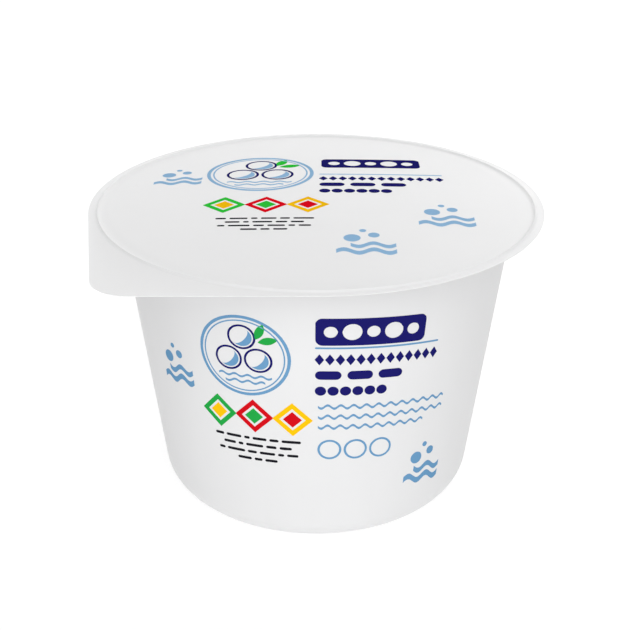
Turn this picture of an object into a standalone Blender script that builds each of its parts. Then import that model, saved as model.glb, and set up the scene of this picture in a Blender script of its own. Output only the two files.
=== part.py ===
"""Sealed round tub for fresh cheese in brine: a tapered white cup and a peel-off film lid.

Metres, +Z up. The origin is on the tub's axis, in the plane that the foot stands on.
The corner pull tab of the film points to the front left, so the front is -Y.
"""

import math

import bpy

# Driving dimensions of the cup
CUP_HEIGHT = 0.0790
CUP_TOP_RADIUS = 0.0521
CUP_BASE_RADIUS = 0.0423
HEEL_RADIUS = 0.0080
FOOT_RING_WIDTH = 0.0030
BASE_RECESS = 0.0012
BASE_RECESS_STEP = 0.0010
FLANGE_RADIUS = 0.0590
FLANGE_THICKNESS = 0.0009
FLANGE_EDGE_ROUND = 0.0003
FLANGE_FILLET = 0.0022

# Driving dimensions of the film lid
FILM_RADIUS = 0.0600
FILM_THICKNESS = 0.0004
BEAD_RADIUS = 0.0573
BEAD_HALF_WIDTH = 0.0006
BEAD_HEIGHT = 0.0005
SEAL_INNER_RADIUS = 0.0547
SHOULDER_RADIUS = 0.0528
SHOULDER_RISE = 0.0008
DOME_RISE = 0.0009
TAB_SIDE_TANGENT = math.radians(190)
TAB_FRONT_TANGENT = math.radians(270)
TAB_CORNER_RADIUS = 0.0095
TAB_MIDDLE = (TAB_FRONT_TANGENT + TAB_SIDE_TANGENT) / 2
TAB_HALF_OPENING = (TAB_FRONT_TANGENT - TAB_SIDE_TANGENT) / 2

# Space kept between the film and the cup
FIT_GAP = 0.0003

# Faceting
TURN_STEPS = 96
RIM_POINTS = 3
HEEL_POINTS = 6
FILLET_POINTS = 4
DOME_POINTS = 4
CORNER_CROWDING = 1.6
SMOOTH_ANGLE = math.radians(35)
MERGE_DISTANCE = 0.00001

# Finishes
WHITE_PLASTIC = (0.83, 0.83, 0.835, 1.0)
WHITE_FILM = (0.85, 0.85, 0.85, 1.0)
PLASTIC_ROUGHNESS = 0.38
FILM_ROUGHNESS = 0.5


def clear_scene():
    """Remove the objects that the file opened with."""
    for found in list(bpy.data.objects):
        bpy.data.objects.remove(found, do_unlink=True)


def make_material(name, colour, roughness):
    """A plain surface of one colour for a sub-part."""
    material = bpy.data.materials.new(name)
    material.use_nodes = True
    shader = material.node_tree.nodes["Principled BSDF"]
    shader.inputs["Base Color"].default_value = colour
    shader.inputs["Roughness"].default_value = roughness
    shader.inputs["Metallic"].default_value = 0.0
    return material


def arc(centre, radius, start, end, count):
    """Points on a circular arc in the profile plane, both ends included."""
    points = []
    for index in range(count):
        angle = start + (end - start) * index / (count - 1)
        x = centre[0] + radius * math.cos(angle)
        z = centre[1] + radius * math.sin(angle)
        points.append((x, z))
    return points


def profile_object(name, points, collection):
    """An open edge line in the XZ plane, ready to be turned about Z."""
    mesh = bpy.data.meshes.new(name)
    vertices = [(x, 0.0, z) for x, z in points]
    edges = [(index, index + 1) for index in range(len(points) - 1)]
    mesh.from_pydata(vertices, edges, [])
    turned = bpy.data.objects.new(name, mesh)
    collection.objects.link(turned)
    return turned


def add_turn(turned):
    """Turn the profile a full circle about Z."""
    screw = turned.modifiers.new("Turn", "SCREW")
    screw.axis = "Z"
    screw.angle = math.tau
    screw.steps = TURN_STEPS
    screw.render_steps = TURN_STEPS
    screw.use_merge_vertices = True
    screw.merge_threshold = MERGE_DISTANCE


def shade_round(made):
    """Smooth the round faces and keep the crisp edges."""
    made.data.shade_smooth()
    made.data.set_sharp_from_angle(angle=SMOOTH_ANGLE)


def bake_modifiers(source):
    """Replace an object's mesh by its evaluated one, without modifiers."""
    depsgraph = bpy.context.evaluated_depsgraph_get()
    mesh = bpy.data.meshes.new_from_object(source.evaluated_get(depsgraph))
    mesh.name = source.name
    source.modifiers.clear()
    source.data = mesh


def crown_profile():
    """The film's upper side from the centre out to the seal land, as rises above that land."""
    points = []
    for index in range(DOME_POINTS + 1):
        share = index / DOME_POINTS
        rise = SHOULDER_RISE + DOME_RISE * (1.0 - share ** 2)
        points.append((SHOULDER_RADIUS * share, rise))
    middle = (SHOULDER_RADIUS + SEAL_INNER_RADIUS) / 2
    points.append((middle, SHOULDER_RISE / 2))
    points.append((SEAL_INNER_RADIUS, 0.0))
    return points


def cup_wall_profile():
    """The cup's outer side, from the flange's upper rim down to the foot ring."""
    lean = math.atan2(CUP_TOP_RADIUS - CUP_BASE_RADIUS, CUP_HEIGHT)
    flange_under = CUP_HEIGHT - FLANGE_THICKNESS

    rim_centre = FLANGE_RADIUS - FLANGE_EDGE_ROUND
    upper_centre = (rim_centre, CUP_HEIGHT - FLANGE_EDGE_ROUND)
    lower_centre = (rim_centre, flange_under + FLANGE_EDGE_ROUND)
    upper = arc(upper_centre, FLANGE_EDGE_ROUND, math.pi / 2, 0.0, RIM_POINTS)
    lower = arc(lower_centre, FLANGE_EDGE_ROUND, 0.0, -math.pi / 2, RIM_POINTS)

    def wall_radius(z):
        return CUP_BASE_RADIUS + (CUP_TOP_RADIUS - CUP_BASE_RADIUS) * z / CUP_HEIGHT

    # The fillet's centre lies one fillet radius below the flange and outside the wall
    fillet_z = flange_under - FLANGE_FILLET
    fillet_x = wall_radius(fillet_z) + FLANGE_FILLET / math.cos(lean)
    fillet = arc((fillet_x, fillet_z), FLANGE_FILLET, math.pi / 2, math.pi - lean, FILLET_POINTS)

    # The heel's centre lies one heel radius above the ground and inside the wall
    heel_x = wall_radius(HEEL_RADIUS) - HEEL_RADIUS / math.cos(lean)
    heel = arc((heel_x, HEEL_RADIUS), HEEL_RADIUS, -lean, -math.pi / 2, HEEL_POINTS)

    ring_inner = heel_x - FOOT_RING_WIDTH
    base = [(ring_inner, 0.0), (ring_inner - BASE_RECESS_STEP, BASE_RECESS), (0.0, BASE_RECESS)]
    return upper + lower + fillet + heel + base


def make_tub(collection):
    """The filled cup: a solid body with its foot ring, heel, tapered wall and thin flange."""
    top = [(x, CUP_HEIGHT + rise) for x, rise in crown_profile()]
    tub = profile_object("tub", top + cup_wall_profile(), collection)
    add_turn(tub)
    bake_modifiers(tub)
    tub.data.materials.append(make_material("tub_plastic", WHITE_PLASTIC, PLASTIC_ROUGHNESS))
    shade_round(tub)
    return tub


def tab_reach(offset):
    """How far the tab's outline is from the axis, at an angle away from the tab's middle line."""
    # The corner arc touches both tangent lines, and its centre is on the tab's middle line
    centre_distance = (FILM_RADIUS - TAB_CORNER_RADIUS) / math.cos(TAB_HALF_OPENING)
    line_run = centre_distance * math.sin(TAB_HALF_OPENING)
    arc_half_angle = TAB_HALF_OPENING - math.atan2(line_run, FILM_RADIUS)
    if offset >= arc_half_angle:
        return FILM_RADIUS / math.cos(TAB_HALF_OPENING - offset)
    side = centre_distance * math.sin(offset)
    return centre_distance * math.cos(offset) + math.sqrt(TAB_CORNER_RADIUS ** 2 - side ** 2)


def outline_point(angle):
    """The point of the film's outline that a vertex of the disc's edge moves to."""
    offset = (angle - TAB_MIDDLE + math.pi) % math.tau - math.pi
    if abs(offset) >= TAB_HALF_OPENING:
        return FILM_RADIUS * math.cos(angle), FILM_RADIUS * math.sin(angle)

    # The tab's vertices crowd towards the corner, where the outline turns most
    crowded = TAB_HALF_OPENING * (abs(offset) / TAB_HALF_OPENING) ** CORNER_CROWDING
    reach = tab_reach(crowded)
    turned = TAB_MIDDLE + math.copysign(crowded, offset)
    return reach * math.cos(turned), reach * math.sin(turned)


def make_lid_film(collection):
    """The film: a shallow dome, a flat seal land with a raised bead, and the corner pull tab."""
    land = CUP_HEIGHT + FIT_GAP
    profile = [(x, land + rise) for x, rise in crown_profile()]
    profile.append((BEAD_RADIUS - BEAD_HALF_WIDTH, land))
    profile.append((BEAD_RADIUS, land + BEAD_HEIGHT))
    profile.append((BEAD_RADIUS + BEAD_HALF_WIDTH, land))
    profile.append((FILM_RADIUS, land))
    film = profile_object("lid_film", profile, collection)
    add_turn(film)
    bake_modifiers(film)

    outline_from = (FILM_RADIUS + BEAD_RADIUS + BEAD_HALF_WIDTH) / 2
    for vertex in film.data.vertices:
        if math.hypot(vertex.co.x, vertex.co.y) > outline_from:
            angle = math.atan2(vertex.co.y, vertex.co.x)
            vertex.co.x, vertex.co.y = outline_point(angle)

    wall = film.modifiers.new("Film thickness", "SOLIDIFY")
    wall.thickness = FILM_THICKNESS
    wall.offset = 1.0
    bake_modifiers(film)
    film.data.materials.append(make_material("lid_film_white", WHITE_FILM, FILM_ROUGHNESS))
    shade_round(film)
    return film


def main():
    clear_scene()
    collection = bpy.data.collections.new("sealed_cheese_tub")
    bpy.context.scene.collection.children.link(collection)
    make_tub(collection)
    make_lid_film(collection)


main()
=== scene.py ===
"""Sealed tub of fresh cheese in brine: the looks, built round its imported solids.

The cup is turned up ring by ring, the film lid is bridged out to its corner tab, and the print
is laid on both as thin sheets of ink. Metres, +Z up, the front is -Y.
"""

import math

import bpy
from bpy.props import FloatProperty, FloatVectorProperty, PointerProperty
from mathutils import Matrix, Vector


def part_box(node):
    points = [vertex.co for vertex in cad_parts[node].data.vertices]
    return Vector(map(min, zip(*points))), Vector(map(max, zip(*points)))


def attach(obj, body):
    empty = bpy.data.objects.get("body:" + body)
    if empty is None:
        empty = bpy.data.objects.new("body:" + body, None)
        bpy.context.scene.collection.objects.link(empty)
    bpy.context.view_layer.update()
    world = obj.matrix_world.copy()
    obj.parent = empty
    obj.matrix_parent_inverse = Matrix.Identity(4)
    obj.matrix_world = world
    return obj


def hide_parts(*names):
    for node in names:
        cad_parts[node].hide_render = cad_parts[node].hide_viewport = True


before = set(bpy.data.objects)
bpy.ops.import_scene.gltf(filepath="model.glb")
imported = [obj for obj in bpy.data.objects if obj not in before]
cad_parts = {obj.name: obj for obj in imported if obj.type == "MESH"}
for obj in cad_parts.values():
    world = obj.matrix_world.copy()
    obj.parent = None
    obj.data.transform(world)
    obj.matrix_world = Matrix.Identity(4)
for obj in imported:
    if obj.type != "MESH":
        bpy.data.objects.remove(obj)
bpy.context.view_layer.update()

bl_info = {
    "name": "Sealed Cheese Tub",
    "version": (1, 0, 0),
    "blender": (4, 5, 0),
    "location": "View3D > Sidebar > Cheese Tub",
    "description": "Models a sealed round cheese tub with its printed film lid",
    "category": "Object",
}

MM = 0.001
ORIGIN = (0.0, 0.0, 0.0)
WHITE = (1.0, 1.0, 1.0, 1.0)

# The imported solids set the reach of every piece. The land is the film's flat upper side at the rim
CUP_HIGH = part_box("tub")[1]
FILM_LOW, FILM_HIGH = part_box("lid_film")
SOLID_FILM_THICKNESS = 0.4 * MM
FILM_LAND = FILM_LOW.z + SOLID_FILM_THICKNESS

# The film hides the flange's rim, so the flange ends this far inside the solid's
FLANGE_INSET = 0.8 * MM

# Fineness of the turned shapes, and the distance at which two points count as one
TURN_STEPS = 256
WALL_RINGS = 8
HEEL_RINGS = 10
FILLET_RINGS = 8
RECESS_RINGS = 4
RIM_RINGS = 8
BEAD_RINGS = 8
SHOULDER_RINGS = 8
DOME_RINGS = 20
CORNER_STEPS = 24
SMOOTH_ANGLE = math.radians(32)
TINY = 0.00001

# The base: a gate dimple, a middle panel, and the recess's rounded corner beside the foot ring
DIMPLE_TOP_RADIUS = 1.6 * MM
DIMPLE_RADIUS = 2.4 * MM
DIMPLE_DEPTH = 0.5 * MM
PANEL_SHARE = 0.55
PANEL_EDGE_SHARE = 0.57
PANEL_STEP = 0.3 * MM
RECESS_CORNER = 0.6 * MM
RECESS_CORNER_INSET = 1.4 * MM
RING_EDGE = ((0.6 * MM, 0.2 * MM), (0.4 * MM, 0.0))

# The closed mouth under the film: its lip's drop, its slope inward, its depth and its middle
LIP_DROP = 0.3 * MM
FILL_SLOPE = 1 * MM
FILL_DEPTH = 1.5 * MM
FILL_MIDDLE = 1 * MM

# How pointed the bead is: 1 is a plain ridge
BEAD_POINT = 1.3

# How the print is laid: the level whose radius it is bent to, the strips that its sheets are cut
# into, and their height over the film before they come down
CUP_PRINT_LEVEL = 45 * MM
CUP_SLICE = 1.5 * MM
FILM_SLICE = 3 * MM
SHEET_CLEARANCE = 1 * MM

# How the motifs are drawn: where the sag of the rows is measured, in millimetres from the middle,
# the points in a quarter of a round corner and in a wave, and how full a leaf is
SAG_DISTANCE = 30
CORNER_POINTS = 8
WAVE_POINTS = 12
LEAF_FULLNESS = 0.8

# The stage: a floor that gives off some light, and a room that looks white but lights little
FLOOR_SIZE = 6.0
FLOOR_GREY = (0.3, 0.3, 0.3)
FLOOR_GLOW = 0.745
ROOM_LIGHT = 0.105
LIGHT_AIM = (0.0, 0.0, 0.05)

# The soft lights: name, place and width in metres, and power in watts
SOFTBOXES = (
    ("overhead", (0.0, 0.1, 1.3), 1.2, 3.3),
    ("high_back_right", (0.33, 0.44, 0.45), 0.45, 0.84),
    ("high_back", (0.0, 1.2, 0.6), 0.9, 3.75),
    ("low_back_left", (-0.5, 1.2, 0.24), 0.4, 1.04),
    ("low_back_right", (0.5, 1.2, 0.24), 0.4, 1.27),
    ("left", (-1.2, -0.2, 0.5), 0.8, 0.6),
    ("right", (1.2, 0.3, 0.45), 0.8, 0.6),
    ("low_front", (0.05, -1.3, 0.26), 0.5, 3.5),
    ("high_front", (0.0, -1.0, 1.0), 1.0, 12.0),
)

# The camera looks down at the front of the tub
CAMERA_PLACE = (-0.3 * MM, -299.5 * MM, 191.4 * MM)
CAMERA_TILT = math.radians(90 - 25.86)
CAMERA_LENS = 68.57
CAMERA_SENSOR = 36.0
CAMERA_NEAR = 0.01


class TubSizes(bpy.types.PropertyGroup):
    """The sizes of the cup, the film and the print."""

    cup_top_radius: FloatProperty(
        name="Cup top radius", description="Outer radius that the wall would have at the top",
        default=52.1 * MM, min=10 * MM, unit="LENGTH", subtype="DISTANCE")
    cup_base_radius: FloatProperty(
        name="Cup base radius", description="Outer radius where the wall would meet the ground",
        default=42.3 * MM, min=10 * MM, unit="LENGTH", subtype="DISTANCE")
    heel_radius: FloatProperty(
        name="Heel radius", description="Rounding between the wall and the foot",
        default=8.0 * MM, min=1 * MM, unit="LENGTH", subtype="DISTANCE")
    foot_ring_width: FloatProperty(
        name="Foot ring width", description="Width of the flat ring that the cup stands on",
        default=3.0 * MM, min=1 * MM, unit="LENGTH", subtype="DISTANCE")
    base_recess: FloatProperty(
        name="Base recess", description="How far the base is raised inside the foot ring",
        default=1.2 * MM, min=0.0, unit="LENGTH", subtype="DISTANCE")
    flange_radius: FloatProperty(
        name="Flange radius", description="Outer radius of the cup's flange",
        default=CUP_HIGH.x - FLANGE_INSET, min=10 * MM, unit="LENGTH", subtype="DISTANCE")
    flange_thickness: FloatProperty(
        name="Flange thickness", description="Thickness of the flange under the film",
        default=0.65 * MM, min=0.2 * MM, unit="LENGTH", subtype="DISTANCE")
    flange_fillet: FloatProperty(
        name="Flange fillet", description="Rounding between the wall and the flange",
        default=2.2 * MM, min=0.5 * MM, unit="LENGTH", subtype="DISTANCE")
    film_radius: FloatProperty(
        name="Film radius", description="Outer radius of the round film",
        default=59.65 * MM, min=10 * MM, unit="LENGTH", subtype="DISTANCE")
    film_thickness: FloatProperty(
        name="Film thickness", description="Thickness of the lid film",
        default=0.12 * MM, min=0.05 * MM, unit="LENGTH", subtype="DISTANCE")
    bead_radius: FloatProperty(
        name="Bead radius", description="Radius of the raised sealing bead",
        default=57.3 * MM, min=10 * MM, unit="LENGTH", subtype="DISTANCE")
    bead_half_width: FloatProperty(
        name="Bead half width", description="Half of the bead's width",
        default=0.7 * MM, min=0.1 * MM, unit="LENGTH", subtype="DISTANCE")
    bead_height: FloatProperty(
        name="Bead height", description="Height of the bead over the seal land",
        default=0.44 * MM, min=0.0, unit="LENGTH", subtype="DISTANCE")
    seal_inner_radius: FloatProperty(
        name="Seal inner radius", description="Where the film begins to rise off the seal",
        default=56.2 * MM, min=10 * MM, unit="LENGTH", subtype="DISTANCE")
    shoulder_radius: FloatProperty(
        name="Shoulder radius", description="Where the film's rise off the seal ends",
        default=52.6 * MM, min=10 * MM, unit="LENGTH", subtype="DISTANCE")
    shoulder_rise: FloatProperty(
        name="Shoulder rise", description="Height of the film's rise off the seal",
        default=0.28 * MM, min=0.0, unit="LENGTH", subtype="DISTANCE")
    dome_rise: FloatProperty(
        name="Dome rise", description="Height of the film's middle over its shoulder",
        default=1.8 * MM, min=0.0, unit="LENGTH", subtype="DISTANCE")
    tab_side_tangent: FloatProperty(
        name="Tab side", description="Direction in which the tab's left edge leaves the round film",
        default=math.radians(190), subtype="ANGLE", unit="ROTATION")
    tab_front_tangent: FloatProperty(
        name="Tab front", description="Direction in which the tab's front edge leaves the round film",
        default=math.radians(270), subtype="ANGLE", unit="ROTATION")
    tab_corner_radius: FloatProperty(
        name="Tab corner radius", description="Rounding of the tab's corner",
        default=10.5 * MM, min=1 * MM, unit="LENGTH", subtype="DISTANCE")
    print_middle: FloatProperty(
        name="Print middle", description="Where along the wall the cup's print is highest",
        default=-6 * MM, unit="LENGTH", subtype="DISTANCE")
    print_sag: FloatProperty(
        name="Print sag", description="How far the print has sunk 30 mm to each side of its middle",
        default=2.1 * MM, min=0.0, unit="LENGTH", subtype="DISTANCE")
    film_print_lift: FloatProperty(
        name="Film print lift", description="How much further back the print lies 30 mm from its middle",
        default=0.7 * MM, min=0.0, unit="LENGTH", subtype="DISTANCE")
    ink_lift: FloatProperty(
        name="Ink lift", description="Height of the ink over the printed surface",
        default=0.03 * MM, min=0.0, unit="LENGTH", subtype="DISTANCE")


def colour_property(name, description, default):
    """A colour that the user may change."""
    return FloatVectorProperty(
        name=name, description=description, default=default, size=3, min=0.0, max=1.0, subtype="COLOR")


class TubColours(bpy.types.PropertyGroup):
    """The colours of the plastic, the film and the inks, in linear light."""

    plastic: colour_property("Cup plastic", "White of the cup", (0.73, 0.73, 0.735))
    film: colour_property("Film", "White of the lid film", (0.76, 0.76, 0.763))
    navy: colour_property("Navy ink", "Banner, rows and the balls' outlines", (0.013, 0.012, 0.130))
    blue: colour_property("Blue ink", "Rings, waves and bubbles on the cup", (0.140, 0.310, 0.510))
    green: colour_property("Green ink", "Leaves and diamonds on the cup", (0.020, 0.355, 0.060))
    red: colour_property("Red ink", "Diamonds on the cup", (0.600, 0.006, 0.012))
    film_blue: colour_property("Film's blue ink", "Its rings, waves and bubbles", (0.280, 0.480, 0.700))
    film_green: colour_property("Film's green ink", "Its leaves and diamonds", (0.030, 0.540, 0.045))
    film_red: colour_property("Film's red ink", "Its diamonds", (0.730, 0.004, 0.014))
    amber: colour_property("Amber ink", "Diamonds", (0.920, 0.520, 0.006))
    dark: colour_property("Dark ink", "Smallest dashes", (0.012, 0.012, 0.016))


class Value:
    """A socket that carries a number, on which Python's arithmetic adds Math nodes."""

    def __init__(self, nodes, socket):
        self.nodes = nodes
        self.socket = socket

    def math(self, operation, *operands):
        made = self.nodes.node("ShaderNodeMath", {"operation": operation}, dict(enumerate(operands)))
        return Value(self.nodes, made.outputs[0])

    def __add__(self, other):
        return self.math("ADD", self, other)

    def __radd__(self, other):
        return self.math("ADD", other, self)

    def __sub__(self, other):
        return self.math("SUBTRACT", self, other)

    def __rsub__(self, other):
        return self.math("SUBTRACT", other, self)

    def __mul__(self, other):
        return self.math("MULTIPLY", self, other)

    def __rmul__(self, other):
        return self.math("MULTIPLY", other, self)

    def __pow__(self, other):
        return self.math("POWER", self, other)

    def __rpow__(self, other):
        return self.math("POWER", other, self)

    def between(self, low, high):
        """0 below low, 1 above high, smooth in between."""
        made = self.nodes.node("ShaderNodeMapRange", {"interpolation_type": "SMOOTHSTEP"}, {
            "From Min": low, "From Max": high, "Value": self})
        return Value(self.nodes, made.outputs["Result"])


class Nodes:
    """A node tree under construction."""

    def __init__(self, tree):
        self.tree = tree

    def node(self, kind, settings=None, inputs=None):
        """A node of any type: its settings first, then the values or links of its sockets."""
        made = self.tree.nodes.new(kind)
        for setting, value in (settings or {}).items():
            setattr(made, setting, value)
        for socket, value in (inputs or {}).items():
            self.feed(made.inputs[socket], value)
        return made

    def feed(self, socket, value):
        """A value, a Value or another node's socket goes into a socket."""
        if isinstance(value, Value):
            self.tree.links.new(value.socket, socket)
        elif isinstance(value, bpy.types.NodeSocket):
            self.tree.links.new(value, socket)
        else:
            socket.default_value = value

    def number(self, socket):
        return Value(self, socket)


class Finish(Nodes):
    """A material under construction: its tree, its shader and the place on the piece."""

    def __init__(self, name):
        self.material = bpy.data.materials.new(name)
        self.material.use_nodes = True
        super().__init__(self.material.node_tree)
        self.shader = self.tree.nodes["Principled BSDF"]
        self.place = self.node("ShaderNodeTexCoord").outputs["Object"]

    def axes(self):
        """The place on the piece as three numbers, in metres."""
        split = self.node("ShaderNodeSeparateXYZ", inputs={"Vector": self.place})
        return [self.number(output) for output in split.outputs]

    def noise(self, cell, detail=2.0, stretch=(1.0, 1.0, 1.0)):
        """Noise from 0 to 1 whose cells have this size in metres."""
        mapped = self.node("ShaderNodeMapping", inputs={"Vector": self.place, "Scale": stretch})
        made = self.node("ShaderNodeTexNoise", inputs={
            "Vector": mapped.outputs["Vector"], "Scale": 1.0 / cell, "Detail": detail})
        return self.number(made.outputs["Fac"])

    def shade_of(self, colour, factor):
        """A colour whose brightness is scaled by a number."""
        inputs = {0: tuple(colour), "Scale": factor}
        return self.node("ShaderNodeVectorMath", {"operation": "SCALE"}, inputs).outputs["Vector"]

    def bump(self, height, depth, after=None):
        """A relief of this depth in metres, over an earlier one if there is one."""
        inputs = {"Height": height, "Distance": depth, "Strength": 1.0}
        if after is not None:
            inputs["Normal"] = after
        return self.node("ShaderNodeBump", inputs=inputs).outputs["Normal"]

    def finish(self, colour, roughness, normal, **sockets):
        """Feed the shader: what varies, then the numbers that are the same all over."""
        self.feed(self.shader.inputs["Base Color"], colour)
        self.feed(self.shader.inputs["Roughness"], roughness)
        self.feed(self.shader.inputs["Normal"], normal)
        for name, value in sockets.items():
            self.shader.inputs[name.replace("_", " ")].default_value = value
        return self.material


def cup_plastic(colour):
    """Smooth moulded white plastic: faint clouds and upright streaks in its white, and orange peel."""
    f = Finish("white_cup_plastic")
    clouds = f.noise(22 * MM, detail=3.0)
    streaks = f.noise(5 * MM, detail=3.0, stretch=(1.0, 1.0, 0.06))
    specks = f.noise(1.1 * MM, detail=1.0)
    tone = 0.975 + 0.022 * clouds + 0.022 * streaks + 0.006 * specks
    draw_marks = f.noise(0.9 * MM, stretch=(1.0, 1.0, 0.04))
    peel = f.noise(0.55 * MM, detail=1.0)
    rough = 0.33 + 0.07 * f.noise(9 * MM) + 0.04 * peel
    normal = f.bump(draw_marks, 0.004 * MM)
    normal = f.bump(peel, 0.006 * MM, normal)
    return f.finish(f.shade_of(colour, tone), rough, normal, IOR=1.49)


def lid_film_plastic(colour, seal_inner):
    """Semi-matt film: grain, faint streaks, soft waves over the mouth, and a rim and tab painted whiter,
    partly for the film lying over the white flange and partly as painted light.
    """
    f = Finish("white_lid_film")
    x, y = f.axes()[:2]
    from_axis = (x * x + y * y) ** 0.5
    span = 1.0 - from_axis.between(seal_inner - 3 * MM, seal_inner)
    clouds = f.noise(30 * MM, detail=2.0)
    grain = f.noise(0.35 * MM, detail=1.0)
    rolling = f.noise(1.6 * MM, detail=3.0, stretch=(0.05, 1.0, 1.0))
    # Whiter from the seal outward: partly the film over the white flange, partly painted light that
    # brightens the seal band and the tab
    rim = from_axis.between(seal_inner, seal_inner + 2.5 * MM)
    tone = 0.985 + 0.014 * clouds + 0.01 * grain + 0.012 * rolling + 0.035 * rim
    waves = f.noise(13 * MM, detail=1.0, stretch=(1.0, 0.45, 1.0)) * span
    rough = 0.46 + 0.06 * f.noise(6 * MM) + 0.05 * rolling
    normal = f.bump(waves, 0.05 * MM)
    normal = f.bump(rolling, 0.003 * MM, normal)
    normal = f.bump(grain, 0.003 * MM, normal)
    return f.finish(f.shade_of(colour, tone), rough, normal, IOR=1.5)


def printing_ink(name, colour):
    """A flat matt ink with slightly uneven coverage."""
    f = Finish(name)
    coverage = f.noise(0.45 * MM, detail=2.0)
    drift = f.noise(6 * MM, detail=1.0)
    tone = 0.93 + 0.08 * coverage + 0.06 * drift
    rough = 0.52 + 0.1 * coverage
    normal = f.bump(coverage, 0.002 * MM)
    return f.finish(f.shade_of(colour, tone), rough, normal, Specular_IOR_Level=0.0)


def studio_floor():
    """A plain pale sheet of paper that gives off some light, so that it stays white."""
    f = Finish("pale_floor")
    tooth = f.noise(1.5 * MM, detail=2.0)
    tone = 0.995 + 0.01 * tooth
    normal = f.bump(tooth, 0.01 * MM)
    return f.finish(f.shade_of(FLOOR_GREY, tone), 0.9 + 0.05 * tooth, normal,
                    Emission_Color=WHITE, Emission_Strength=FLOOR_GLOW)


def only(piece):
    """Select this piece alone and make it active."""
    if bpy.context.mode != "OBJECT":
        bpy.ops.object.mode_set(mode="OBJECT")
    bpy.ops.object.select_all(action="DESELECT")
    piece.select_set(True)
    bpy.context.view_layer.objects.active = piece


def named_piece(name):
    """The object that an operator has just added, with its place moved into its mesh."""
    piece = bpy.context.object
    piece.name = name
    piece.data.name = name
    bpy.ops.object.transform_apply(location=True, rotation=True, scale=True)
    return piece


def start_circle(name, radius, height, fill):
    """A circle on the tub's axis, in edit mode and selected all over."""
    bpy.ops.object.select_all(action="DESELECT")
    bpy.ops.mesh.primitive_circle_add(
        vertices=TURN_STEPS, radius=radius, fill_type=fill, location=(0.0, 0.0, height))
    piece = named_piece(name)
    bpy.ops.object.mode_set(mode="EDIT")
    bpy.ops.mesh.select_all(action="SELECT")
    return piece


def select_where(piece, test):
    """In edit mode, select the vertices whose place passes the test, and only those."""
    bpy.ops.mesh.select_all(action="DESELECT")
    bpy.ops.object.mode_set(mode="OBJECT")
    for vertex in piece.data.vertices:
        vertex.select = test(vertex.co)
    bpy.ops.object.mode_set(mode="EDIT")


def climb(stations, extrude):
    """Extrude the selected ring through the stations, each a radius and a height."""
    for (radius, height), (next_radius, next_height) in zip(stations, stations[1:]):
        extrude(TRANSFORM_OT_translate={"value": (0.0, 0.0, next_height - height)})
        growth = next_radius / radius
        bpy.ops.transform.resize(value=(growth, growth, 1.0), center_override=ORIGIN)


def close_shape():
    """Merge doubles and turn every face outward, then leave edit mode."""
    bpy.ops.mesh.select_all(action="SELECT")
    bpy.ops.mesh.remove_doubles(threshold=TINY)
    bpy.ops.mesh.normals_make_consistent(inside=False)
    bpy.ops.object.mode_set(mode="OBJECT")


def arc(centre, radius, start, end, count):
    """Points of an arc in the profile plane, without its first point."""
    angles = [start + (end - start) * step / count for step in range(1, count + 1)]
    return [(centre[0] + radius * math.cos(a), centre[1] + radius * math.sin(a)) for a in angles]


def even_steps(start, end, count):
    """Points of a straight line in the profile plane, without its first point."""
    steps = range(1, count + 1)
    return [tuple(a + (b - a) * step / count for a, b in zip(start, end)) for step in steps]


def wall_radius(sizes, height):
    """The cup's outer radius at a height on its straight wall."""
    slope = (sizes.cup_top_radius - sizes.cup_base_radius) / CUP_HIGH.z
    return sizes.cup_base_radius + slope * height


def cup_stations(sizes):
    """The cup's profile from the middle of its base up to the level of the flange, then inward."""
    lean = math.atan2(sizes.cup_top_radius - sizes.cup_base_radius, CUP_HIGH.z)
    flange_top = FILM_LAND - sizes.film_thickness + TINY
    flange_under = flange_top - sizes.flange_thickness

    # The base, from its middle out to the foot ring
    heel = sizes.heel_radius
    heel_x = wall_radius(sizes, heel) - heel / math.cos(lean)
    ring_inner = heel_x - sizes.foot_ring_width
    corner_x = ring_inner - RECESS_CORNER_INSET
    recess = sizes.base_recess
    lower = recess - PANEL_STEP
    stations = [(DIMPLE_TOP_RADIUS, recess + DIMPLE_DEPTH), (DIMPLE_RADIUS, recess)]
    stations += [(ring_inner * PANEL_SHARE, recess), (ring_inner * PANEL_EDGE_SHARE, lower)]
    stations += [(corner_x, lower)]
    stations += arc((corner_x, lower - RECESS_CORNER), RECESS_CORNER, math.pi / 2, 0.0, RECESS_RINGS)
    stations += [(ring_inner - inset, height) for inset, height in RING_EDGE]
    stations += [(heel_x, 0.0)]

    # The heel, the straight wall and the fillet under the flange
    stations += arc((heel_x, heel), heel, -math.pi / 2, -lean, HEEL_RINGS)
    fillet = sizes.flange_fillet
    fillet_z = flange_under - fillet
    fillet_x = wall_radius(sizes, fillet_z) + fillet / math.cos(lean)
    wall_top = (fillet_x - fillet * math.cos(lean), fillet_z + fillet * math.sin(lean))
    stations += even_steps(stations[-1], wall_top, WALL_RINGS)
    stations += arc((fillet_x, fillet_z), fillet, math.pi - lean, math.pi / 2, FILLET_RINGS)

    # The flange's rounded rim and its top under the film
    rim = sizes.flange_thickness / 2
    rim_x = sizes.flange_radius - rim
    stations += [(rim_x, flange_under)]
    stations += arc((rim_x, flange_under + rim), rim, -math.pi / 2, math.pi / 2, RIM_RINGS)

    # The closed mouth under the film
    lip = sizes.cup_top_radius
    fill_level = flange_top - FILL_DEPTH
    stations += [(sizes.seal_inner_radius, flange_top), (lip, flange_top - LIP_DROP)]
    stations += [(lip - FILL_SLOPE, fill_level), (FILL_MIDDLE, fill_level)]
    return stations


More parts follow.
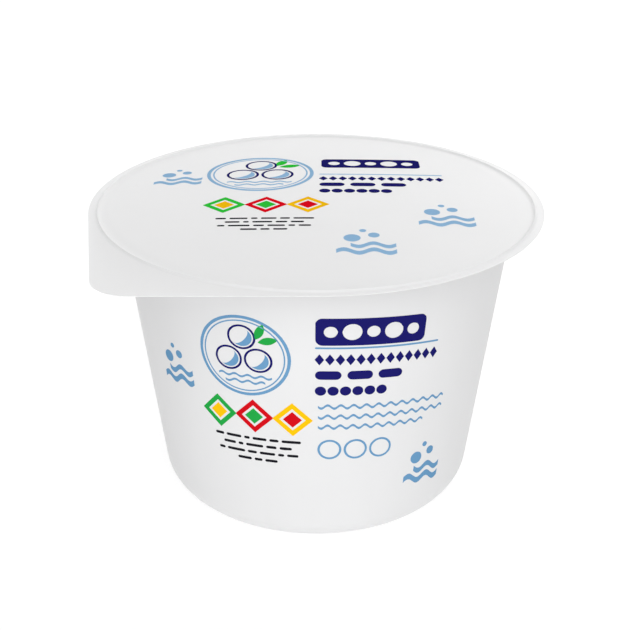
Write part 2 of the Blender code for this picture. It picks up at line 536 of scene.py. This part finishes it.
class CHEESETUB_OT_cup(bpy.types.Operator):
    """Turn the white cup up from its base, ring by ring, to its flange"""

    bl_idname = "cheesetub.cup"
    bl_label = "Make the cup"

    def execute(self, context):
        sizes = context.scene.tub_sizes
        stations = cup_stations(sizes)
        cup = start_circle("cup", *stations[0], "NGON")
        climb(stations, bpy.ops.mesh.extrude_region_move)
        close_shape()
        bpy.ops.object.shade_smooth_by_angle(angle=SMOOTH_ANGLE)
        cup.data.materials.append(cup_plastic(context.scene.tub_colours.plastic))
        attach(cup, "root")
        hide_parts("tub")
        return {"FINISHED"}


def film_stations(sizes):
    """The film's profile from the bead's outer foot over the bead and the shoulder to the middle."""
    bead, half, land = sizes.bead_radius, sizes.bead_half_width, FILM_LAND
    stations = [(bead + half, land)]
    for step in range(1, BEAD_RINGS + 1):
        across = 1.0 - 2.0 * step / BEAD_RINGS
        crest = (1.0 - abs(across)) ** BEAD_POINT
        stations.append((bead + half * across, land + sizes.bead_height * crest))

    # The film lifts off the seal in an S, then spans the mouth as a flat dome
    inner, shoulder, rise = sizes.seal_inner_radius, sizes.shoulder_radius, sizes.shoulder_rise
    stations.append((inner, land))
    for step in range(1, SHOULDER_RINGS + 1):
        share = step / SHOULDER_RINGS
        lift = share * share * (3.0 - 2.0 * share)
        stations.append((inner + (shoulder - inner) * share, land + rise * lift))
    for step in range(1, DOME_RINGS):
        share = 1.0 - step / DOME_RINGS
        dome = rise + sizes.dome_rise * (1.0 - share ** 2)
        stations.append((shoulder * share, land + dome))
    return stations


def direction(place):
    """The direction of a place round the axis, from 0 to a full turn."""
    return math.atan2(place.y, place.x) % math.tau


def out_along(angle, distance, height=0.0):
    """The place at this distance from the axis in this direction."""
    return Vector((distance * math.cos(angle), distance * math.sin(angle), height))


def draw_tab(film, sizes):
    """Open the film's round edge at the front left and draw it out to a rounded corner."""
    radius = sizes.film_radius
    side, front = sizes.tab_side_tangent, sizes.tab_front_tangent
    spare = math.tau / TURN_STEPS / 2
    select_where(film, lambda co: side + spare < direction(co) < front - spare)
    removed = sum(vertex.select for vertex in film.data.vertices)
    bpy.ops.mesh.delete(type="VERT")

    # The corner's arc touches both tangent lines
    corner = sizes.tab_corner_radius
    centre_distance = (radius - corner) / math.cos((front - side) / 2)
    centre = out_along((side + front) / 2, centre_distance, FILM_LAND)
    arc_start = centre + out_along(side, corner)
    arc_end = centre + out_along(front, corner)

    def near(place):
        return lambda co: (co - place).length < radius * spare

    front_end = out_along(front, radius, FILM_LAND)
    select_where(film, near(out_along(side, radius, FILM_LAND)))
    first = next(vertex.co.copy() for vertex in film.data.vertices if vertex.select)
    bpy.ops.mesh.extrude_vertices_move(TRANSFORM_OT_translate={"value": arc_start - first})
    bpy.ops.mesh.spin(steps=CORNER_STEPS, angle=side - front, center=centre, axis=(0.0, 0.0, 1.0))
    select_where(film, lambda co: (co - arc_end).length < TINY or near(front_end)(co))
    bpy.ops.mesh.edge_face_add()

    # The straight sides get the vertices that are left, so that the film's inner rings match
    spread = removed - CORNER_STEPS - 1
    for place, cuts in ((first, spread // 2), (front_end, spread - spread // 2)):
        other = arc_start if place is first else arc_end
        select_where(film, lambda co: (co - other).length < TINY or near(place)(co))
        bpy.ops.mesh.subdivide(number_cuts=cuts)


class CHEESETUB_OT_film(bpy.types.Operator):
    """Draw the film's outline with its pull tab, and raise the bead and the dome inside it"""

    bl_idname = "cheesetub.film"
    bl_label = "Make the film lid"

    def execute(self, context):
        sizes = context.scene.tub_sizes
        film = start_circle("film_lid", sizes.film_radius, FILM_LAND, "NOTHING")
        draw_tab(film, sizes)

        # The flat land between the outline and the bead's outer foot
        stations = film_stations(sizes)
        foot, level = stations[0]
        bpy.ops.mesh.select_all(action="DESELECT")
        bpy.ops.mesh.primitive_circle_add(
            vertices=TURN_STEPS, radius=foot, fill_type="NOTHING", location=(0.0, 0.0, level))
        bpy.ops.mesh.select_all(action="SELECT")
        bpy.ops.mesh.bridge_edge_loops()

        select_where(film, lambda co: co.xy.length < foot + TINY)
        climb(stations, bpy.ops.mesh.extrude_edges_move)
        bpy.ops.mesh.extrude_edges_move(TRANSFORM_OT_translate={"value": ORIGIN})
        bpy.ops.mesh.merge(type="CENTER")
        close_shape()
        if film.data.polygons[0].normal.z < 0:
            film.data.flip_normals()

        bpy.ops.object.modifier_add(type="SOLIDIFY")
        wall = film.modifiers[-1]
        wall.thickness = sizes.film_thickness
        wall.offset = -1.0
        bpy.ops.object.modifier_apply(modifier=wall.name)
        bpy.ops.object.shade_smooth_by_angle(angle=SMOOTH_ANGLE)
        white = context.scene.tub_colours.film
        film.data.materials.append(lid_film_plastic(white, sizes.seal_inner_radius))
        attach(film, "root")
        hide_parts("lid_film")
        return {"FINISHED"}


# Shapes of the print: each function returns a list of closed outlines in millimetres

def disc(x, y, radius, points=64):
    """A filled circle."""
    turns = [math.tau * step / points for step in range(points)]
    return [[(x + radius * math.cos(a), y + radius * math.sin(a)) for a in turns]]


def ring(x, y, radius, line):
    """A circle's line, inward from its radius."""
    return disc(x, y, radius) + disc(x, y, radius - line)


def bar(left, bottom, width, height, corner=None):
    """A rectangle with round corners, or with round ends if no corner is given."""
    corner = height / 2 if corner is None else corner
    near, right = left + corner, left + width - corner
    low, top = bottom + corner, bottom + height - corner
    outline = []
    for quarter, (x, y) in enumerate(((right, top), (near, top), (near, low), (right, low))):
        shares = [step / CORNER_POINTS for step in range(CORNER_POINTS + 1)]
        angles = [math.pi / 2 * (quarter + share) for share in shares]
        outline += [(x + corner * math.cos(a), y + corner * math.sin(a)) for a in angles]
    return [outline]


def diamond(x, y, half_width, half_height):
    """A diamond that stands on its corner."""
    return [[(x + half_width, y), (x, y + half_height), (x - half_width, y), (x, y - half_height)]]


def turned(outline, x, y, turn):
    """An outline turned about the origin and moved to its place."""
    cos, sin = math.cos(turn), math.sin(turn)
    return [(x + a * cos - b * sin, y + a * sin + b * cos) for a, b in outline]


def leaf(x, y, length, width, turn, points=16):
    """A pointed leaf that grows from its foot in the direction of its turn."""
    shares = [step / points for step in range(points)]
    upper = [(length * s, width / 2 * math.sin(math.pi * s) ** LEAF_FULLNESS) for s in shares]
    lower = [(length - a, -b) for a, b in upper]
    return [turned(upper + lower, x, y, turn)]


def crescent(x, y, radius, turn, points=24):
    """The shaded side of a ball, widest in the direction of its turn."""
    edge, hollow = 0.55 * math.pi, 0.45
    outer = [edge * (2 * step / points - 1) for step in range(points + 1)]
    rim = [(radius * math.cos(a), radius * math.sin(a)) for a in outer]
    inner = [(a * hollow + radius * math.cos(edge) * (1 - hollow), b) for a, b in reversed(rim[1:-1])]
    return [turned(rim + inner, x, y, turn)]


def wave(left, right, y, swing, length, line):
    """A wavy line of even height."""
    points = max(8, round(WAVE_POINTS * (right - left) / length))
    xs = [left + (right - left) * step / points for step in range(points + 1)]
    upper = [(x, y + swing * math.sin(math.tau * x / length) + line / 2) for x in xs]
    lower = [(x, v - line) for x, v in reversed(upper)]
    return [upper + lower]


def dashes(left, bottom, height, lengths, gap):
    """Bars with round ends in a row."""
    outlines = []
    for length in lengths:
        outlines += bar(left, bottom, length, height)
        left += length + gap
    return outlines


# Motifs of the print, each round its own middle: outlines by ink

def roundel():
    """A double ring round three balls in brine, with two leaves."""
    balls = ((-3.75, 0.0), (3.75, 0.0), (0.0, 6.4))
    shape = {"navy": [], "blue": ring(0, 0, 11.6, 0.8) + ring(0, 0, 10.3, 0.35), "green": []}
    for x, y in balls:
        shape["navy"] += ring(x, y - 0.9, 3.5, 0.55)
        shape["blue"] += crescent(x, y - 0.9, 2.6, math.radians(-40))
    shape["blue"] += wave(-6.9, 6.9, -5.8, 0.35, 3.45, 0.6) + wave(-5.2, 5.2, -7.5, 0.35, 3.45, 0.6)
    shape["green"] += leaf(3.5, 5.2, 4.8, 2.1, math.radians(66))
    shape["green"] += leaf(4.0, 4.4, 4.8, 2.1, math.radians(14))
    return shape


def banner():
    """A dark bar with five balls left open in it."""
    navy = bar(-13.2, -3.8, 26.4, 7.6, 1.6)
    for step in range(-2, 3):
        navy += disc(4.9 * step, 0.0, 2.25 if step % 2 else 1.55)
    return {"navy": navy}


def ornament_rows():
    """A rule over a row of diamonds, a row of dashes and a row of dots."""
    navy = []
    for step in range(13):
        navy += diamond(-14.2 + 2.42 * step, 4.5, 1.1, 1.6)
    navy += dashes(-15.2, -1.3, 2.5, (6.2, 6.2, 6.2), 1.4)
    for step in range(6):
        navy += disc(-13.9 + 3.0 * step, -4.7, 1.35, 32)
    return {"navy": navy, "blue": bar(-15.2, 7.6, 31.0, 0.5)}


def brine_lines():
    """Three thin waves one under another."""
    blue = wave(-17.6, 17.6, 3.1, 0.5, 3.2, 0.7)
    blue += wave(-17.6, 17.6, 0.0, 0.5, 3.2, 0.7)
    blue += wave(-17.6, 11.2, -3.1, 0.5, 3.2, 0.7)
    return {"blue": blue}


def three_rings():
    """Three circles beside one another."""
    return {"blue": ring(-6.8, 0, 3.1, 0.6) + ring(0, 0, 3.1, 0.6) + ring(6.8, 0, 3.1, 0.6)}


def diamond_row():
    """Three coloured diamonds beside one another."""
    shape = {"green": [], "red": [], "amber": []}
    for x, outer, inner in ((-9.9, "green", "amber"), (0.0, "red", "green"), (9.9, "amber", "red")):
        shape[outer] += diamond(x, 0, 5.1, 5.1) + diamond(x, 0, 3.3, 3.3)
        shape[inner] += diamond(x, 0, 2.4, 2.4)
    return shape


def fine_rows():
    """Four rows of the smallest dashes, centred."""
    dark = []
    rows = (
        (2.6, 4.4, 1.6, 3.8, 2.4, 5.0),
        (3.6, 1.4, 4.8, 2.8, 3.2),
        (1.8, 5.2, 2.6, 4.2, 1.6, 3.0),
        (4.0, 2.2, 3.4),
    )
    for row, lengths in enumerate(rows):
        width = sum(lengths) + 0.8 * (len(lengths) - 1)
        dark += dashes(-width / 2, 2.9 - 2.2 * row, 0.8, lengths, 0.8)
    return {"dark": dark}


def bubbles():
    """Two short swells with bubbles over them."""
    blue = wave(-6.6, 6.6, -3.4, 0.9, 6.6, 1.9) + wave(-3.4, 6.6, -0.2, 0.9, 6.6, 1.7)
    blue += disc(-3.0, 3.4, 1.9) + disc(1.9, 5.0, 1.3, 32) + disc(-0.5, 7.4, 0.8, 32)
    return {"blue": blue}


# Where each motif's middle is and how much larger it is drawn, in millimetres:
# on the cup x runs along the wall from the front and y is the height, on the film both are in plan
CUP_LAYOUT = (
    (roundel, -17.4, 58.2, 1.0),
    (banner, 13.0, 66.6, 1.0),
    (ornament_rows, 14.9, 54.2, 1.0),
    (brine_lines, 18.0, 41.6, 1.0),
    (three_rings, 10.2, 31.4, 1.0),
    (diamond_row, -15.8, 40.4, 1.0),
    (fine_rows, -15.8, 30.0, 1.0),
    (bubbles, 32.0, 22.5, 1.0),
    (bubbles, -39.0, 50.0, 0.9),
)
FILM_LAYOUT = (
    (roundel, -15.5, 17.5, 1.28),
    (banner, 15.5, 26.5, 1.06),
    (ornament_rows, 17.6, 7.8, 1.1),
    (diamond_row, -13.0, -7.5, 1.1),
    (fine_rows, -13.0, -20.4, 1.05),
    (bubbles, 33.0, -16.0, 1.1),
    (bubbles, 12.0, -33.0, 1.1),
    (bubbles, -38.0, 14.0, 1.0),
)


def with_short_sides(outline, longest=1.5):
    """The same outline with more points on its long sides."""
    points = []
    for (x, y), (next_x, next_y) in zip(outline, outline[1:] + outline[:1]):
        run, rise = next_x - x, next_y - y
        parts = math.ceil(math.hypot(run, rise) / longest)
        points += [(x + run * part / parts, y + rise * part / parts) for part in range(parts)]
    return points


def lay_out(layout, middle=0.0, sag=0.0):
    """Put the motifs in place, lower them towards the sides and gather their outlines by ink."""
    inks = {}
    for motif, x, y, scale in layout:
        for ink, outlines in motif().items():
            for outline in outlines:
                placed = [(x + scale * a, y + scale * b) for a, b in with_short_sides(outline)]
                sunk = [(a, b - sag * ((a - middle) / SAG_DISTANCE) ** 2) for a, b in placed]
                inks.setdefault(ink, []).append(sunk)
    return inks


def ink_sheet(name, outlines):
    """A flat mesh in the XY plane, filled inside the outlines and open where they nest."""
    drawing = bpy.data.curves.new(name, "CURVE")
    drawing.dimensions = "2D"
    drawing.fill_mode = "BOTH"
    for outline in outlines:
        spline = drawing.splines.new("POLY")
        spline.points.add(len(outline) - 1)
        for point, (x, y) in zip(spline.points, outline):
            point.co = (x * MM, y * MM, 0.0, 1.0)
        spline.use_cyclic_u = True
    sheet = bpy.data.objects.new(name, drawing)
    bpy.context.scene.collection.objects.link(sheet)
    only(sheet)
    bpy.ops.object.convert(target="MESH")
    bpy.ops.object.mode_set(mode="EDIT")
    bpy.ops.mesh.select_all(action="SELECT")
    bpy.ops.mesh.remove_doubles(threshold=TINY / 10)
    bpy.ops.object.mode_set(mode="OBJECT")
    return bpy.context.object


def slice_across(sheet, axis, step):
    """Cut the sheet at even steps along an axis, so that it can follow a round surface."""
    places = [vertex.co[axis] for vertex in sheet.data.vertices]
    normal = [0.0, 0.0, 0.0]
    normal[axis] = 1.0
    bpy.ops.object.mode_set(mode="EDIT")
    for index in range(math.ceil(min(places) / step), math.floor(max(places) / step) + 1):
        cut = [0.0, 0.0, 0.0]
        cut[axis] = index * step
        bpy.ops.mesh.select_all(action="SELECT")
        bpy.ops.mesh.bisect(plane_co=cut, plane_no=normal)
    bpy.ops.object.mode_set(mode="OBJECT")


def lay_on(sheet, target, lift, thickness):
    """Lay the sheet on its target and give it the thickness of a coat of ink."""
    bpy.ops.object.modifier_add(type="SHRINKWRAP")
    wrap = sheet.modifiers[-1]
    wrap.target = target
    wrap.wrap_method = "NEAREST_SURFACEPOINT"
    wrap.wrap_mode = "ABOVE_SURFACE"
    wrap.offset = lift
    bpy.ops.object.modifier_apply(modifier=wrap.name)
    bpy.ops.object.modifier_add(type="SOLIDIFY")
    coat = sheet.modifiers[-1]
    coat.thickness = thickness
    coat.offset = -1.0
    bpy.ops.object.modifier_apply(modifier=coat.name)
    bpy.ops.object.shade_smooth_by_angle(angle=SMOOTH_ANGLE)


def move_sheet(sheet, place, tilt=0.0):
    """Tilt the sheet about the X axis, then move it, both in its mesh."""
    sheet.rotation_euler = (tilt, 0.0, 0.0)
    sheet.location = place
    bpy.ops.object.transform_apply(location=True, rotation=True, scale=True)


def bend_about_z(sheet, radius):
    """Bend the sheet to this radius about Z. Its ends go towards +Y."""
    places = [vertex.co.x for vertex in sheet.data.vertices]
    bpy.ops.object.modifier_add(type="SIMPLE_DEFORM")
    bend = sheet.modifiers[-1]
    bend.deform_method = "BEND"
    bend.deform_axis = "Z"
    bend.angle = (max(places) - min(places)) / radius
    bpy.ops.object.modifier_apply(modifier=bend.name)


def repeat_behind():
    """Print the active sheet once more on the far side of the cup."""
    bpy.ops.object.mode_set(mode="EDIT")
    bpy.ops.mesh.select_all(action="SELECT")
    bpy.ops.mesh.duplicate()
    bpy.ops.transform.rotate(value=math.pi, orient_axis="Z", center_override=ORIGIN)
    bpy.ops.object.mode_set(mode="OBJECT")


def finish_print(sheet, ink, colours):
    """Give a coat of ink its material and let it ride with the tub."""
    name = "ink_" + ink
    material = bpy.data.materials.get(name) or printing_ink(name, getattr(colours, ink))
    sheet.data.materials.append(material)
    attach(sheet, "root")


class CHEESETUB_OT_cup_print(bpy.types.Operator):
    """Lay the printed design round the front of the cup"""

    bl_idname = "cheesetub.cup_print"
    bl_label = "Print the cup"

    def execute(self, context):
        sizes = context.scene.tub_sizes
        cup = bpy.data.objects["cup"]
        middle_radius = wall_radius(sizes, CUP_PRINT_LEVEL)
        inks = lay_out(CUP_LAYOUT, sizes.print_middle / MM, sizes.print_sag / MM)
        for ink, outlines in inks.items():
            sheet = ink_sheet("cup_print_" + ink, outlines)
            slice_across(sheet, 0, CUP_SLICE)
            move_sheet(sheet, ORIGIN, tilt=math.pi / 2)
            bend_about_z(sheet, middle_radius)
            move_sheet(sheet, (0.0, -middle_radius, 0.0))
            lay_on(sheet, cup, sizes.ink_lift, 2 * sizes.ink_lift)
            repeat_behind()
            finish_print(sheet, ink, context.scene.tub_colours)
        return {"FINISHED"}


class CHEESETUB_OT_film_print(bpy.types.Operator):
    """Lay the printed design on the film lid"""

    bl_idname = "cheesetub.film_print"
    bl_label = "Print the film lid"

    def execute(self, context):
        sizes = context.scene.tub_sizes
        film = bpy.data.objects["film_lid"]
        inks = lay_out(FILM_LAYOUT, sag=-sizes.film_print_lift / MM)

        # These three inks look brighter on the film, so they have a second colour for it
        for ink in ("blue", "green", "red"):
            inks["film_" + ink] = inks.pop(ink)
        for ink, outlines in inks.items():
            sheet = ink_sheet("film_print_" + ink, outlines)
            slice_across(sheet, 0, FILM_SLICE)
            slice_across(sheet, 1, FILM_SLICE)
            move_sheet(sheet, (0.0, 0.0, FILM_HIGH.z + SHEET_CLEARANCE))
            lay_on(sheet, film, sizes.ink_lift, 2 * sizes.ink_lift)
            finish_print(sheet, ink, context.scene.tub_colours)
        return {"FINISHED"}


def add_softbox(name, place, size, power):
    """A square area light that faces the tub."""
    bpy.ops.object.light_add(type="AREA", location=place)
    light = bpy.context.object
    light.name = name
    light.data.shape = "SQUARE"
    light.data.size = size
    light.data.energy = power
    light.rotation_euler = (Vector(LIGHT_AIM) - Vector(place)).to_track_quat("-Z", "Y").to_euler()


def white_room():
    """A world that is white where the camera or a reflection looks, and lights the tub only a little."""
    room = bpy.data.worlds.new("soft_white_room")
    room.use_nodes = True
    nodes = Nodes(room.node_tree)
    rays = nodes.node("ShaderNodeLightPath")
    camera = nodes.number(rays.outputs["Is Camera Ray"])
    glossy = nodes.number(rays.outputs["Is Glossy Ray"])
    looked_at = camera.math("MAXIMUM", camera, glossy)
    strength = nodes.node("ShaderNodeMapRange", inputs={"To Min": ROOM_LIGHT, "Value": looked_at})
    background = room.node_tree.nodes["Background"]
    nodes.feed(background.inputs["Color"], WHITE)
    nodes.feed(background.inputs["Strength"], strength.outputs["Result"])
    return room


class CHEESETUB_OT_stage(bpy.types.Operator):
    """Set the pale floor, the soft studio light and the camera"""

    bl_idname = "cheesetub.stage"
    bl_label = "Set the stage"

    def execute(self, context):
        bpy.ops.object.select_all(action="DESELECT")
        bpy.ops.mesh.primitive_plane_add(size=FLOOR_SIZE, location=ORIGIN)
        floor = context.object
        floor.name = "floor"
        floor.data.materials.append(studio_floor())

        context.scene.world = white_room()
        for softbox in SOFTBOXES:
            add_softbox(*softbox)

        bpy.ops.object.camera_add(location=CAMERA_PLACE, rotation=(CAMERA_TILT, 0.0, 0.0))
        camera = context.object
        camera.data.lens = CAMERA_LENS
        camera.data.sensor_width = CAMERA_SENSOR
        camera.data.clip_start = CAMERA_NEAR
        context.scene.camera = camera
        context.scene.view_settings.view_transform = "Standard"
        return {"FINISHED"}


class CHEESETUB_PT_panel(bpy.types.Panel):
    """The tub's pieces, sizes and colours"""

    bl_idname = "CHEESETUB_PT_panel"
    bl_label = "Cheese Tub"
    bl_space_type = "VIEW_3D"
    bl_region_type = "UI"
    bl_category = "Cheese Tub"

    def draw(self, context):
        for operator in OPERATORS:
            self.layout.operator(operator.bl_idname)
        for group in (context.scene.tub_sizes, context.scene.tub_colours):
            column = self.layout.column(align=True)
            for name in group.__annotations__:
                column.prop(group, name)


OPERATORS = (
    CHEESETUB_OT_cup,
    CHEESETUB_OT_film,
    CHEESETUB_OT_cup_print,
    CHEESETUB_OT_film_print,
    CHEESETUB_OT_stage,
)
CLASSES = (TubSizes, TubColours, *OPERATORS, CHEESETUB_PT_panel)


def register():
    for cls in CLASSES:
        bpy.utils.register_class(cls)
    bpy.types.Scene.tub_sizes = PointerProperty(type=TubSizes)
    bpy.types.Scene.tub_colours = PointerProperty(type=TubColours)


def unregister():
    del bpy.types.Scene.tub_colours
    del bpy.types.Scene.tub_sizes
    for cls in reversed(CLASSES):
        bpy.utils.unregister_class(cls)


def main():
    register()
    bpy.ops.cheesetub.cup()
    bpy.ops.cheesetub.film()
    bpy.ops.cheesetub.cup_print()
    bpy.ops.cheesetub.film_print()
    bpy.ops.cheesetub.stage()


if __name__ == "__main__":
    main()
